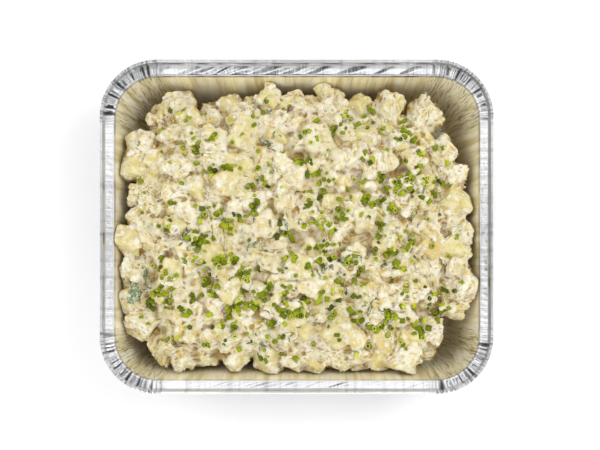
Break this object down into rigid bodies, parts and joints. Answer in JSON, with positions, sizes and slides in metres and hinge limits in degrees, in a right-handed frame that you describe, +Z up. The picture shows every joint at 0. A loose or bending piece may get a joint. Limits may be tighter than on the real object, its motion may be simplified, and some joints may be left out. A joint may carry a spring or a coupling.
{
  "type": "potato salad in a foil tray",
  "caption": "Mound of creamy potato salad with chopped chives, in a shallow rectangular foil tray with a rolled rim, flat flange and pleated corners.",
  "frame": {"origin": "under the centre of the tray, on the surface that it stands on", "axes": "+Z up, +X along the tray's long side, +Y to the far side in the picture's view from above"},
  "size_m": [0.318, 0.27, 0.0707],
  "materials": {
    "foil": "bright rolled foil, pleated at the corners",
    "potato_salad": "moist creamy dressing over pale potato, with green chives"
  },
  "bodies": {
    "root": {"foil_tray": "foil", "potato_salad": "potato_salad"}
  },
  "joints": []
}
